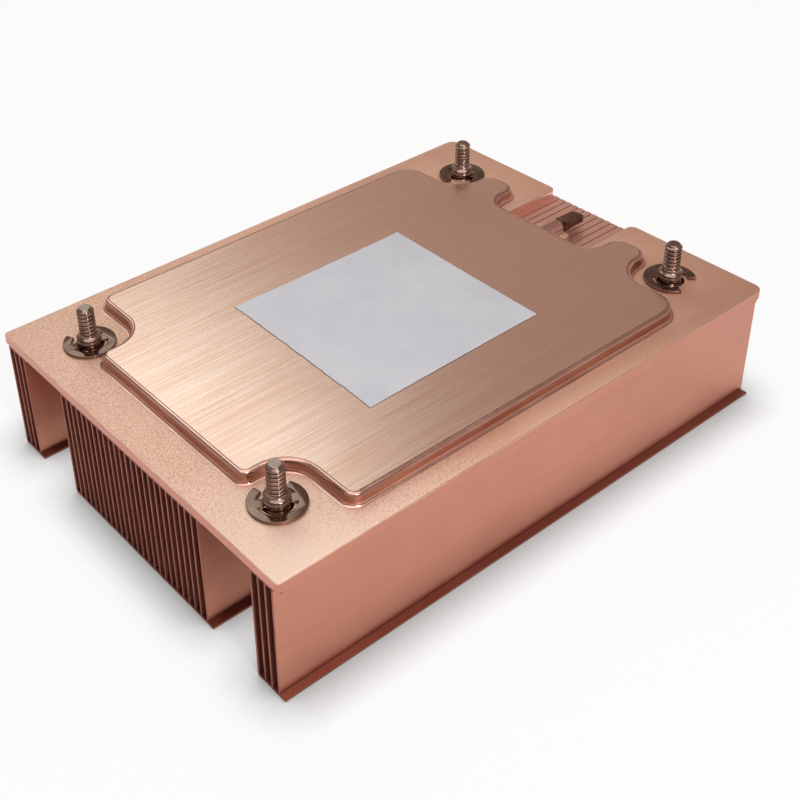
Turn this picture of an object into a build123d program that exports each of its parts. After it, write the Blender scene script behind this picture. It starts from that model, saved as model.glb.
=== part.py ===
from build123d import *
import math
import os

# All sizes are in millimetres. X runs along the fins, Y across them, and Z up to the face for the processor.

# Sheets of the vapour chamber
plate_length = 115.0
plate_width = 83.2
plate_corner_radius_left = 0.8
plate_corner_radius_right = 2.0
condenser_sheet = 0.85
evaporator_sheet = 0.85

# Plateau pressed into the upper sheet, seen as the edge of its flat top
plateau_height = 2.3
plateau_draft = 8.0
plateau_shoulder = 0.65
plateau_side_margin = 5.6
plateau_block_margin = 9.3
plateau_tab_margin = 9.2
screw_land_x = 8.4
screw_land_y = 7.1
block_corner_radius = 1.3
block_root_radius = 6.8
body_corner_radius_left = 1.5
body_corner_radius_right = 4.0
tab_root_radius = 6.8
tab_end_flat = 2.0
end_wall_radius = 4.5

# Notch in the far right edge, which guards the fill tube
notch_width = 20.3
notch_depth = 14.8
notch_mouth_radius = 1.5
notch_wall_land = 2.5
notch_tab_land = 3.95
tongue_width = 7.5
tongue_reach = 2.9
tongue_corner_radius = 1.2

# Fill tube and the bulge over it
tube_diameter = 2.4
tube_wall = 0.45
tube_offset_y = -1.0
tube_seat_clearance = 0.02
tube_inner_reach = 0.3
tube_round_beyond_bulge = 0.8
crimp_ramp = 2.0
crimp_length = 3.8
crimp_width = 3.1
crimp_thickness = 1.0
crimp_corner_radius = 1.0
bulge_wall = 0.55
bulge_end_chamfer = 0.4

# Wicks and columns sealed inside
wick_thickness = 0.4
wick_margin = 1.5
column_width = 2.5
column_pitch_x = 18.0
column_pitch_y = 20.0
column_count_x = 4
column_count_y = 3

# Folded fins, in three groups that leave room for the screws
fin_height = 23.1
fin_pitch = 1.75
fin_sheet = 0.4
fin_fold_chamfer = 0.3
side_group_clearance = 4.9
centre_group_clearance = 5.4
back_group_inset = 1.5
front_group_inset = 0.0
centre_group_offset = -0.675

# Spring screws, inset from the edges so that they stand on the processor's mounting pattern
screw_inset_x = 10.5
screw_inset_y = 13.6
screw_hole_diameter = 5.4
thread_diameter = 3.1
stud_height = 8.1
shank_diameter = 4.5
shank_above_flange = 1.9
shank_cone_height = 0.8
neck_diameter = 3.6
neck_play = 0.1
head_diameter = 8.0
head_height = 2.6
recess_width = 4.2
recess_slot = 1.1
recess_depth = 1.5

# E-shaped retaining clips
clip_diameter = 9.8
clip_thickness = 0.6
clip_ring_width = 1.6
clip_neck_clearance = 0.05
clip_prong_width = 1.9
clip_back_prong_width = 2.6
clip_prong_turn = 88.0
clip_mouth_turn = 36.0
clip_turns = [82.0, 65.0, -80.0, 220.0]

# Compression springs
spring_length = 9.5
spring_diameter = 7.0
spring_wire = 0.8
spring_turns = 5.0
spring_steps_per_turn = 10

# Thermal pad
pad_length = 40.8
pad_width = 39.3
pad_thickness = 0.2
pad_offset_x = -2.35
pad_offset_y = -2.5

# Levels
condenser_top = fin_height + condenser_sheet
flange_top = condenser_top + evaporator_sheet
plateau_top = flange_top + plateau_height
ceiling = plateau_top - evaporator_sheet
head_top = fin_height - spring_length

# Distances that follow from the sizes above
half_length = plate_length / 2
half_width = plate_width / 2
screw_x = half_length - screw_inset_x
screw_y = half_width - screw_inset_y
notch_end_x = half_length - notch_depth
tongue_end_x = notch_end_x + tongue_reach
end_wall_x = notch_end_x - notch_wall_land
plateau_body_x = screw_x - screw_land_x
plateau_body_y = half_width - plateau_side_margin
plateau_block_x = half_length - plateau_block_margin
plateau_block_y = screw_y - screw_land_y
draft_run = math.tan(math.radians(plateau_draft))
foot_outset = plateau_shoulder + plateau_height * draft_run
cavity_height = ceiling - condenser_top
tube_axis_z = condenser_top + tube_diameter / 2 + tube_seat_clearance
screw_places = [
    (-screw_x, screw_y),
    (-screw_x, -screw_y),
    (screw_x, -screw_y),
    (screw_x, screw_y),
]


def rounded_outline(corners):
    """Closed face from (x, y, radius) corners, with an arc at each."""
    points = [(x, y) for x, y, radius in corners]
    radii = [radius for x, y, radius in corners]
    return make_face(FilletPolyline(*points, radius=radii, close=True))


def slab(face, bottom, thickness):
    """Flat piece of the given outline between two levels."""
    return Pos(0, 0, bottom) * extrude(face, amount=thickness)


def plate_outline():
    """Outline that both sheets share: rounded corners, the notch and the tongue under the fill tube."""
    notch_half = notch_width / 2
    tongue_low = tube_offset_y - tongue_width / 2
    tongue_high = tube_offset_y + tongue_width / 2
    face = rounded_outline([
        (-half_length, -half_width, plate_corner_radius_left),
        (half_length, -half_width, plate_corner_radius_right),
        (half_length, -notch_half, notch_mouth_radius),
        (notch_end_x, -notch_half, 0),
        (notch_end_x, tongue_low, 0),
        (tongue_end_x, tongue_low, tongue_corner_radius),
        (tongue_end_x, tongue_high, tongue_corner_radius),
        (notch_end_x, tongue_high, 0),
        (notch_end_x, notch_half, 0),
        (half_length, notch_half, notch_mouth_radius),
        (half_length, half_width, plate_corner_radius_right),
        (-half_length, half_width, plate_corner_radius_left),
    ])
    holes = [Pos(x, y) * Circle(screw_hole_diameter / 2) for x, y in screw_places]
    return face - holes


def plateau_rim():
    """Edge of the plateau's flat top, which steps back round each screw."""
    tab_x = half_length - plateau_tab_margin
    tab_y = notch_width / 2 + notch_tab_land
    tab_end_radius = (plateau_block_y - tab_y - tab_end_flat) / 2
    upper = [
        (-plateau_block_x, plateau_block_y, block_corner_radius),
        (-plateau_body_x, plateau_block_y, block_root_radius),
        (-plateau_body_x, plateau_body_y, body_corner_radius_left),
        (plateau_body_x, plateau_body_y, body_corner_radius_right),
        (plateau_body_x, plateau_block_y, tab_root_radius),
        (tab_x, plateau_block_y, tab_end_radius),
        (tab_x, tab_y, tab_end_radius),
        (end_wall_x, tab_y, end_wall_radius),
    ]
    lower = [(x, -y, radius) for x, y, radius in reversed(upper)]
    return rounded_outline(upper + lower)


def tube_arch(radius, start_x, end_x):
    """Round-topped bar along the fill tube's axis, with straight sides down to the flat sheet."""
    low = condenser_top - tube_axis_z
    sides = Polyline((-radius, 0), (-radius, low), (radius, low), (radius, 0))
    profile = make_face(sides + CenterArc((0, 0), radius, 0, 180))
    start = Plane(origin=(start_x, tube_offset_y, tube_axis_z), x_dir=(0, 1, 0), z_dir=(1, 0, 0))
    return extrude(start * profile, amount=end_x - start_x)


def fill_bulge():
    """Cover over the fill tube, from the plateau's end wall to the end of the tongue, eased at its end."""
    bulge = tube_arch(tube_diameter / 2 + bulge_wall, end_wall_x, tongue_end_x)
    end_face = bulge.faces().sort_by(Axis.X)[-1]
    crown = [edge for edge in end_face.edges() if edge.geom_type == GeomType.CIRCLE]
    return chamfer(crown, length=bulge_end_chamfer)


def evaporator_shell(rim):
    """Pressed upper sheet: flange, drafted plateau with eased shoulder, cavity and tube channel."""
    foot = offset(rim, amount=foot_outset)
    raised = Pos(0, 0, flange_top) * extrude(foot, amount=plateau_height, taper=plateau_draft)
    top_edges = raised.faces().sort_by(Axis.Z)[-1].outer_wire().edges()
    raised = chamfer(top_edges, length=plateau_shoulder)
    shell = slab(plate_outline(), condenser_top, evaporator_sheet) + raised
    shell += fill_bulge()
    cavity_face = offset(rim, amount=foot_outset - evaporator_sheet)
    cavity = Pos(0, 0, condenser_top) * extrude(cavity_face, amount=cavity_height, taper=plateau_draft)
    channel = tube_arch(tube_diameter / 2 + tube_seat_clearance, end_wall_x - notch_wall_land, tongue_end_x)
    return shell - cavity - channel


def wick(bottom):
    """Sintered layer inside the cavity, over its body and its left block, clear of the walls."""
    body_x = plateau_body_x - wick_margin
    body_y = plateau_body_y - wick_margin
    block_x = plateau_block_x - wick_margin
    block_y = plateau_block_y - wick_margin
    body = Rectangle(2 * body_x, 2 * body_y)
    block = Pos(-block_x, 0) * Rectangle(block_x, 2 * block_y, align=(Align.MIN, Align.CENTER))
    return slab(body + block, bottom, wick_thickness)


def support_columns():
    """Square columns between the two wicks, as one group of separate solids."""
    height = cavity_height - 2 * wick_thickness
    middle = condenser_top + wick_thickness + height / 2
    grid = GridLocations(column_pitch_x, column_pitch_y, column_count_x, column_count_y)
    return Compound([Pos(0, 0, middle) * place * Box(column_width, column_width, height) for place in grid])


def fill_tube():
    """Round tube under the bulge, crimped beyond it into a blade, thinner and wider than the tube."""
    inner_x = end_wall_x + foot_outset - evaporator_sheet - tube_inner_reach
    ramp_x = tongue_end_x + tube_round_beyond_bulge
    blade_x = ramp_x + crimp_ramp
    tip_x = blade_x + crimp_length
    tube_r = tube_diameter / 2
    start = Plane(origin=(inner_x, tube_offset_y, tube_axis_z), x_dir=(0, 1, 0), z_dir=(1, 0, 0))
    tube = extrude(start * Circle(tube_r), amount=ramp_x - inner_x)
    bore = extrude(start * Circle(tube_r - tube_wall), amount=tongue_end_x - inner_x)
    plan = blade_outline(ramp_x, blade_x, tip_x, tube_r, crimp_width / 2, crimp_corner_radius)
    side = blade_outline(ramp_x, blade_x, tip_x, tube_r, crimp_thickness / 2, 0)
    crimp = extrude(plan, amount=tube_r, both=True) & extrude(Plane.XZ * side, amount=crimp_width, both=True)
    return tube - bore + Pos(0, tube_offset_y, tube_axis_z) * crimp


def blade_outline(ramp_x, blade_x, tip_x, root_half, blade_half, tip_radius):
    """One view of the crimp, from the tube's width at the ramp to the blade's width at the tip."""
    return rounded_outline([
        (ramp_x, root_half, 0),
        (ramp_x, -root_half, 0),
        (blade_x, -blade_half, 0),
        (tip_x, -blade_half, tip_radius),
        (tip_x, blade_half, tip_radius),
        (blade_x, blade_half, 0),
    ])


def fin(web_y):
    """Folded sheet, open towards -Y: its web's outer face is at web_y and its flanges are one pitch wide."""
    tip_y = web_y - fin_pitch
    inner_y = web_y - fin_sheet
    upper_z = fin_height - fin_sheet
    profile = Polyline(
        (tip_y, 0),
        (web_y - fin_fold_chamfer, 0),
        (web_y, fin_fold_chamfer),
        (web_y, fin_height - fin_fold_chamfer),
        (web_y - fin_fold_chamfer, fin_height),
        (tip_y, fin_height),
        (tip_y, upper_z),
        (inner_y, upper_z),
        (inner_y, fin_sheet),
        (tip_y, fin_sheet),
        close=True,
    )
    return extrude(Plane.YZ * make_face(profile), amount=half_length, both=True)


def screw():
    """Captive screw on its axis: driven head below, shank, clip neck, cone and threaded stud above."""
    head_bottom = head_top - head_height
    neck_bottom = flange_top - neck_play
    neck_top = flange_top + clip_thickness
    shank_end = flange_top + shank_above_flange
    tip = flange_top + stud_height
    head_r = head_diameter / 2
    shank_r = shank_diameter / 2
    neck_r = neck_diameter / 2
    thread_r = thread_diameter / 2
    profile = rounded_outline([
        (0, head_bottom, 0),
        (head_r, head_bottom, 0),
        (head_r, head_top, 0),
        (shank_r, head_top, 0),
        (shank_r, neck_bottom, 0),
        (neck_r, neck_bottom, 0),
        (neck_r, neck_top, 0),
        (shank_r, neck_top, 0),
        (shank_r, shank_end, 0),
        (thread_r, shank_end + shank_cone_height, 0),
        (thread_r, tip, 0),
        (0, tip, 0),
    ])
    cross = Rectangle(recess_width, recess_slot) + Rectangle(recess_slot, recess_width)
    recess = Pos(0, 0, head_bottom) * extrude(cross, amount=recess_depth)
    return revolve(Plane.XZ * profile, axis=Axis.Z) - recess


def retaining_clip(turn):
    """E-shaped clip on its axis, with three prongs on the screw's neck and its mouth turned to an angle."""
    outer_r = clip_diameter / 2
    inner_r = outer_r - clip_ring_width
    outline = Circle(outer_r) - Circle(inner_r)
    prong_reach = inner_r + clip_ring_width / 2
    side_prongs = [(clip_prong_turn, clip_prong_width), (-clip_prong_turn, clip_prong_width)]
    for angle, width in [(180, clip_back_prong_width)] + side_prongs:
        outline += Rot(0, 0, angle) * Pos(prong_reach / 2, 0) * Rectangle(prong_reach, width)
    outline -= Circle(neck_diameter / 2 + clip_neck_clearance)
    mouth_reach = outer_r * math.tan(math.radians(clip_mouth_turn))
    outline -= make_face(Polyline((0, 0), (outer_r, mouth_reach), (outer_r, -mouth_reach), close=True))
    return Pos(0, 0, flange_top) * Rot(0, 0, turn) * extrude(outline, amount=clip_thickness)


def spring():
    """Compression spring of square wire on its axis, with ends ground flat on the head and the sheet."""
    coil_r = (spring_diameter - spring_wire) / 2
    rise = spring_length + spring_wire
    steps = round(spring_turns * spring_steps_per_turn)
    points = []
    for step in range(steps + 1):
        corner = Vector(coil_r, 0, rise * step / steps)
        points.append(corner.rotate(Axis.Z, 360 * step / spring_steps_per_turn))
    start = Plane(origin=points[0], z_dir=points[1] - points[0], x_dir=(1, 0, 0))
    section = start * Rectangle(spring_wire, spring_wire)
    wire = sweep(section, path=Polyline(*points), transition=Transition.RIGHT)
    coil = Pos(0, 0, -spring_wire / 2) * wire
    ground = Cylinder(spring_diameter, spring_length, align=(Align.CENTER, Align.CENTER, Align.MIN))
    return Pos(0, 0, head_top) * (coil & ground)


def interface_pad():
    """Thin pad on the plateau, where the processor lies."""
    face = Pos(pad_offset_x, pad_offset_y) * Rectangle(pad_length, pad_width)
    return slab(face, plateau_top, pad_thickness)


def fins():
    """Every fin by name: two side groups and the wide centre group, apart where the screws pass."""
    back_y = half_width - back_group_inset
    front_end_y = front_group_inset - half_width
    back_count = fin_count(back_y - screw_y - side_group_clearance)
    front_count = fin_count(-screw_y - side_group_clearance - front_end_y)
    centre_count = fin_count(2 * (screw_y - centre_group_clearance))
    centre_y = centre_group_offset + centre_count * fin_pitch / 2
    front_y = front_end_y + front_count * fin_pitch
    named = {}
    for group, first_y, count in (
        ("back", back_y, back_count),
        ("centre", centre_y, centre_count),
        ("front", front_y, front_count),
    ):
        for number in range(count):
            named[f"fin_{group}_{number + 1:02d}"] = fin(first_y - number * fin_pitch)
    return named


def fin_count(room):
    """Whole fins that the room across them holds."""
    return max(0, math.floor(room / fin_pitch))


rim = plateau_rim()
parts = {
    "evaporator_shell": evaporator_shell(rim),
    "condenser_plate": slab(plate_outline(), fin_height, condenser_sheet),
    "evaporator_wick": wick(ceiling - wick_thickness),
    "condenser_wick": wick(condenser_top),
    "support_columns": support_columns(),
    "fill_tube": fill_tube(),
    "interface_pad": interface_pad(),
}
parts.update(fins())
for number, ((x, y), turn) in enumerate(zip(screw_places, clip_turns), start=1):
    parts[f"screw_{number}"] = Pos(x, y, 0) * screw()
    parts[f"retaining_clip_{number}"] = Pos(x, y, 0) * retaining_clip(turn)
    parts[f"spring_{number}"] = Pos(x, y, 0) * spring()

os.makedirs("parts", exist_ok=True)
for name, part in parts.items():
    export_step(part, f"parts/{name}.step")
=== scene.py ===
import math

import bmesh
import bpy
from mathutils import Matrix, Vector, noise
from mathutils.geometry import tessellate_polygon


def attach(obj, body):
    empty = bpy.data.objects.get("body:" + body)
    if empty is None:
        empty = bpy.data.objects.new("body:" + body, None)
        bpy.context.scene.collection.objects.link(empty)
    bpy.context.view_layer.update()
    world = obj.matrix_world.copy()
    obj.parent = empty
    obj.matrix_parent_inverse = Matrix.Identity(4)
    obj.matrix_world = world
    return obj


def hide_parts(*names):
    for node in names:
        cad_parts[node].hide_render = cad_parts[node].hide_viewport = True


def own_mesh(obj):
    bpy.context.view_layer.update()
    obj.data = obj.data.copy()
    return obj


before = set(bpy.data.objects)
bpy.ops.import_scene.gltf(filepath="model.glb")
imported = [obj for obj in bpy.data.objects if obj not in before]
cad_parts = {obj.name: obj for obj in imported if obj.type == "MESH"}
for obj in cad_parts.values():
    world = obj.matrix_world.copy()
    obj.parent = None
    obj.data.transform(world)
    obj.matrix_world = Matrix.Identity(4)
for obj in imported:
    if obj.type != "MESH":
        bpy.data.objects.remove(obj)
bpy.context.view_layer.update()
mm = 0.001
print("frame loaded,", len(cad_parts), "CAD nodes")


class Number:  # a socket that arithmetic can be written on
    def __init__(self, graph, socket):
        self.graph = graph
        self.socket = socket

    def math(self, operation, *others):
        return self.graph.add("ShaderNodeMath", {"operation": operation}, [self, *others]).out(0)

    def __add__(self, other):
        return self.math("ADD", other)

    __radd__ = __add__

    def __mul__(self, other):
        return self.math("MULTIPLY", other)

    __rmul__ = __mul__

    def __truediv__(self, other):
        return self.math("DIVIDE", other)

    def __sub__(self, other):
        return self.math("SUBTRACT", other)

    def __rsub__(self, other):
        return self.graph.add("ShaderNodeMath", {"operation": "SUBTRACT"}, [other, self]).out(0)

    def clamped(self, low=0.0, high=1.0):
        return self.math("MAXIMUM", low).math("MINIMUM", high)


class Made:  # a node that was added, with its outputs
    def __init__(self, graph, node):
        self.graph = graph
        self.node = node

    def out(self, name):
        return Number(self.graph, self.node.outputs[name])


class Graph:
    def __init__(self, tree):
        self.tree = tree
        tree.nodes.clear()

    def add(self, kind, settings=None, sockets=None):
        node = self.tree.nodes.new(kind)
        for name, value in (settings or {}).items():
            if name == "stops":
                ramp = node.color_ramp
                while len(ramp.elements) < len(value):
                    ramp.elements.new(0.5)
                for element, (position, shade) in zip(ramp.elements, value):
                    element.position = position
                    element.color = (*shade, 1)
            else:
                setattr(node, name, value)
        pairs = enumerate(sockets) if isinstance(sockets, list) else (sockets or {}).items()
        for name, value in pairs:
            if isinstance(value, Number):
                self.tree.links.new(value.socket, node.inputs[name])
            elif value is not None:
                node.inputs[name].default_value = value
        return Made(self, node)


def rgba(hexText):
    parts = [int(hexText[i:i + 2], 16) / 255 for i in (0, 2, 4)]
    return (*(c / 12.92 if c <= 0.04045 else ((c + 0.055) / 1.055) ** 2.4 for c in parts), 1)


def link(piece):
    bpy.context.scene.collection.objects.link(piece)


def newMaterial(name):
    material = bpy.data.materials.new(name)
    material.use_nodes = True
    graph = Graph(material.node_tree)
    place = graph.add("ShaderNodeTexCoord").out("Object")
    return material, graph, place


def stretched(graph, place, scale):
    return graph.add("ShaderNodeMapping", None, {"Vector": place, "Scale": scale}).out("Vector")


def axes(graph, vector):
    parts = graph.add("ShaderNodeSeparateXYZ", None, {"Vector": vector})
    return parts.out("X"), parts.out("Y"), parts.out("Z")


def grain(graph, vector, scale, detail=2.0, rough=0.5):
    sockets = {"Vector": vector, "Scale": scale, "Detail": detail, "Roughness": rough}
    return graph.add("ShaderNodeTexNoise", None, sockets).out("Fac")


def mixed(graph, factor, first, second):
    return graph.add("ShaderNodeMix", {"data_type": "RGBA"}, {0: factor, 6: first, 7: second}).out(2)


def bump(graph, height, look):
    strength, depth = look["bump"]  # the depth is in metres
    sockets = {"Strength": strength, "Distance": depth, "Height": height}
    return graph.add("ShaderNodeBump", None, sockets).out("Normal")


def risingFrom(value, start, slope):  # 0 up to the start, then up to 1
    return ((value - start) * slope).clamped()


def fallingTo(value, end, slope):  # 1 at first, then down to 0 at the end
    return ((end - value) * slope).clamped()


def around(value, spread):
    return (value - 0.5) * spread


def finish(material, graph, tone, rough, normal=None, metallic=1.0):
    sockets = {"Base Color": tone, "Roughness": rough, "Normal": normal, "Metallic": metallic}
    shader = graph.add("ShaderNodeBsdfPrincipled", None, sockets).out("BSDF")
    graph.add("ShaderNodeOutputMaterial", None, {"Surface": shader})
    return material


blastedLook = {
    "light": rgba("f4cdb6"), "dark": rgba("dba88f"), "pit": rgba("b98a70"), "paintedHighlight": rgba("fce9da"),
    "roughness": 0.62, "grainScale": 2500.0, "cloudScale": 48.0, "speckScale": 3600.0,
    "bump": (0.8, 0.0001), "roughSpread": 0.3, "coarseEndX": 0.002,
    # limits in metres, each with its slope
    "highlightEndX": (-0.014, 28.0), "highlightEdgeY": (-0.012, 38.0),
    "darkerFromX": (0.02, 40.0), "darkerEdgeY": (-0.02, 60.0),
}


def blastedCopper():
    look = blastedLook
    material, graph, place = newMaterial("blastedCopper")
    fine = grain(graph, place, look["grainScale"], 3.0, 0.65)
    broad = grain(graph, place, look["cloudScale"], 4.0, 0.6)
    speck = grain(graph, place, look["speckScale"], 2.0)
    along, across, _ = axes(graph, place)
    nearEdge = fallingTo(across, *look["highlightEdgeY"])
    # painted highlight: a paler, creamier tone toward the left end and the near edge, where the lamp's
    # reflection falls
    paintedHighlight = fallingTo(along, *look["highlightEndX"]) * (nearEdge * 0.6 + 0.4)
    # darker toward the right end of the near edge
    darkerNearRight = risingFrom(along, *look["darkerFromX"]) * fallingTo(across, *look["darkerEdgeY"])
    # the blasting is coarser toward the left end, and its grain fades out under the painted highlight, where
    # the surface is palest
    sand = ((look["coarseEndX"] - along) * 24.0).clamped(0.12, 1.0) * (1.1 - paintedHighlight).clamped()
    share = (fine - 0.5) * sand * 4.5 + around(broad, 0.9) + 0.55
    tone = mixed(graph, share.clamped(), look["dark"], look["light"])
    tone = mixed(graph, paintedHighlight * 0.65, tone, look["paintedHighlight"])
    tone = mixed(graph, darkerNearRight * 0.35, tone, look["pit"])
    tone = mixed(graph, ((speck - 0.48) * sand * 5.0).clamped(0.0, 0.5), tone, look["pit"])
    rough = look["roughness"] + around(fine, look["roughSpread"])
    normal = bump(graph, fine * sand, look)
    return finish(material, graph, tone, rough, normal)


brushedLook = {
    "light": rgba("f5d3c0"), "dark": rgba("e7b7a0"), "stain": rgba("dfaa93"), "smooth": rgba("efc4b1"),
    "roughness": 0.27, "strokeSpread": 0.07, "cloudSpread": 0.08, "lineScale": (40.0, 2600.0, 40.0),
    "strokeScale": (22.0, 900.0, 22.0), "cloudScale": 34.0, "bump": (0.5, 0.00003), "workedEndX": 0.014,
}


def brushedCopper():
    look = brushedLook
    material, graph, place = newMaterial("brushedCopper")
    lines = grain(graph, stretched(graph, place, look["lineScale"]), 1.0, 2.0, 0.6)
    strokes = grain(graph, stretched(graph, place, look["strokeScale"]), 1.0, 3.0, 0.6)
    cloud = grain(graph, place, look["cloudScale"], 4.0, 0.6)
    along, _, _ = axes(graph, place)
    # the strokes show most on the left half, and the right half is smoother and pinker
    worked = ((look["workedEndX"] - along) * 28.0).clamped(0.12, 1.0)
    stroke = ((around(lines, 3.2) + around(strokes, 1.3)) * worked + 0.6).clamped()
    tone = mixed(graph, stroke, look["dark"], look["light"])
    tone = mixed(graph, ((cloud - 0.5) * 2.0).clamped(0.0, 0.35), tone, look["stain"])
    tone = mixed(graph, (1.0 - worked) * 0.9, tone, look["smooth"])
    rough = look["roughness"] + around(strokes, look["strokeSpread"]) + around(cloud, look["cloudSpread"])
    normal = bump(graph, (lines + strokes) * (worked * 0.7 + 0.3), look)
    return finish(material, graph, tone, rough, normal)


pressedLook = {
    "light": rgba("e9bfb0"), "dark": rgba("bd8c7e"), "roughness": 0.22,
    "fineScale": 1900.0, "drawnScale": (90.0, 90.0, 900.0), "bump": (0.25, 0.00004), "roughSpread": 0.2,
}
# painted shade: a darker copy of the pressed copper for the steep wall, while the shoulder above keeps the
# lighter copper
shadedWallLook = {**pressedLook, "light": rgba("bd9385"), "dark": rgba("946a5c"), "roughness": 0.3}


def pressedCopper(name, look):
    material, graph, place = newMaterial(name)
    fine = grain(graph, place, look["fineScale"], 3.0, 0.6)
    lines = grain(graph, stretched(graph, place, look["drawnScale"]), 1.0, 3.0)
    tone = mixed(graph, (around(lines, 2.4) + 0.55).clamped(), look["dark"], look["light"])
    rough = look["roughness"] + around(fine, look["roughSpread"])
    normal = bump(graph, fine + lines, look)
    return finish(material, graph, tone, rough, normal)


grooveLook = {
    "light": rgba("b08c74"), "dark": rgba("8c6c58"), "roughness": 0.5, "roughSpread": 0.2,
    "stainScale": 700.0, "contrast": (0.35, 2.5),
}


# painted shade: the groove at the flat's edge is coloured darker than the copper round it
def grooveCopper():
    look = grooveLook
    material, graph, place = newMaterial("grooveCopper")
    stain = grain(graph, place, look["stainScale"], 3.0)
    tone = mixed(graph, risingFrom(stain, *look["contrast"]), look["dark"], look["light"])
    rough = look["roughness"] + around(stain, look["roughSpread"])
    return finish(material, graph, tone, rough)


sheetLook = {
    "light": rgba("d8987f"), "dark": rgba("bc7863"), "foldHighlight": rgba("f2c6b6"), "foot": rgba("74453f"),
    "roughness": 0.34, "metallic": 0.88, "rolledScale": (14.0, 700.0, 700.0), "cloudScale": 60.0,
    "bump": (0.15, 0.00003), "roughSpread": 0.2,
    # limits in metres, each with its slope
    "notchFromX": (0.04, 400.0), "notchHalfWidth": (0.012, 900.0), "foldHighlightFromZ": (0.0228, 5000.0),
    "footShadeTopZ": (0.0012, 3000.0),
}


def sheetCopper():
    look = sheetLook
    material, graph, place = newMaterial("sheetCopper")
    rolled = grain(graph, stretched(graph, place, look["rolledScale"]), 1.0, 3.0, 0.6)
    cloud = grain(graph, place, look["cloudScale"], 4.0)
    tone = mixed(graph, (rolled * 0.35 + cloud * 0.9 - 0.15).clamped(), look["dark"], look["light"])
    along, across, height = axes(graph, place)
    # painted highlight on the folds that show through the notch, and painted shade on the lowest folds
    notch = risingFrom(along, *look["notchFromX"])
    notch = notch * fallingTo(across.math("ABSOLUTE"), *look["notchHalfWidth"])
    foldHighlight = risingFrom(height, *look["foldHighlightFromZ"]) * notch
    tone = mixed(graph, foldHighlight * 0.7, tone, look["foldHighlight"])
    tone = mixed(graph, fallingTo(height, *look["footShadeTopZ"]) * 0.6, tone, look["foot"])
    rough = look["roughness"] + around(cloud, look["roughSpread"])
    normal = bump(graph, rolled, look)
    return finish(material, graph, tone, rough, normal, look["metallic"])


shearedLook = {
    "light": rgba("b87568"), "dark": rgba("84483f"), "roughness": 0.5, "roughSpread": 0.3,
    "shearScale": (900.0, 2600.0, 260.0), "contrast": (0.35, 2.6), "bump": (0.5, 0.00006),
}


def shearedCopper():
    look = shearedLook
    material, graph, place = newMaterial("shearedCopper")
    marks = grain(graph, stretched(graph, place, look["shearScale"]), 1.0, 3.0, 0.6)
    tone = mixed(graph, risingFrom(marks, *look["contrast"]), look["dark"], look["light"])
    rough = look["roughness"] + around(marks, look["roughSpread"])
    normal = bump(graph, marks, look)
    return finish(material, graph, tone, rough, normal)


sinteredLook = {
    "light": rgba("c8795a"), "dark": rgba("8f4d36"), "roughness": 0.62, "powderScale": 3200.0,
    "bump": (0.6, 0.00012),
}


def sinteredCopper():
    look = sinteredLook
    material, graph, place = newMaterial("sinteredCopper")
    sockets = {"Vector": place, "Scale": look["powderScale"]}
    powder = graph.add("ShaderNodeTexVoronoi", None, sockets).out("Distance")
    tone = mixed(graph, (powder * 1.6).clamped(), look["light"], look["dark"])
    normal = bump(graph, 1 - powder, look)
    return finish(material, graph, tone, look["roughness"], normal)


tubeLook = {
    "light": rgba("8a6350"), "dark": rgba("5d4033"), "roughness": 0.42, "roughSpread": 0.3,
    "stainScale": 900.0, "contrast": (0.3, 2.0), "bump": (0.35, 0.00008),
}


def tubeCopper():
    look = tubeLook
    material, graph, place = newMaterial("crimpedTubeCopper")
    stain = grain(graph, place, look["stainScale"], 4.0, 0.6)
    tone = mixed(graph, risingFrom(stain, *look["contrast"]), look["dark"], look["light"])
    rough = look["roughness"] + around(stain, look["roughSpread"])
    normal = bump(graph, stain, look)
    return finish(material, graph, tone, rough, normal)


steelGrain = {
    "stainScale": 420.0, "fineScale": 4200.0, "contrast": (0.3, 2.2), "roughSpread": 0.1,
    "bump": (0.1, 0.00003),
}
screwLook = {"light": rgba("b09689"), "dark": rgba("7d685e"), "roughness": 0.2}
clipLook = {"light": rgba("8b6f62"), "dark": rgba("6b5449"), "roughness": 0.16}
springLook = {"light": rgba("c9c6c1"), "dark": rgba("96928c"), "roughness": 0.24}
padEdgeShadeLook = {"light": rgba("8d7a6a"), "dark": rgba("5f5145"), "roughness": 0.5}  # painted shade: the dark line round the pad


def platedSteel(name, look):
    material, graph, place = newMaterial(name)
    stain = grain(graph, place, steelGrain["stainScale"], 4.0, 0.6)
    fine = grain(graph, place, steelGrain["fineScale"], 2.0)
    tone = mixed(graph, risingFrom(stain, *steelGrain["contrast"]), look["dark"], look["light"])
    spread = steelGrain["roughSpread"]
    rough = look["roughness"] + around(fine, spread) + around(stain, spread)
    normal = bump(graph, fine + stain, steelGrain)
    return finish(material, graph, tone, rough, normal)


padLook = {
    "light": rgba("c9cbd1"), "dark": rgba("bfc1c8"), "roughness": 0.62, "roughSpread": 0.3,
    "cloudScale": 90.0, "fineScale": 2200.0, "contrast": (0.35, 2.4), "bump": (0.25, 0.00006),
}


def padPaste():
    look = padLook
    material, graph, place = newMaterial("padPaste")
    cloud = grain(graph, place, look["cloudScale"], 5.0, 0.6)
    fine = grain(graph, place, look["fineScale"], 2.0)
    tone = mixed(graph, risingFrom(cloud, *look["contrast"]), look["dark"], look["light"])
    rough = look["roughness"] + around(cloud, look["roughSpread"])
    normal = bump(graph, fine * 0.5 + cloud, look)
    return finish(material, graph, tone, rough, normal, 0.0)


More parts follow.
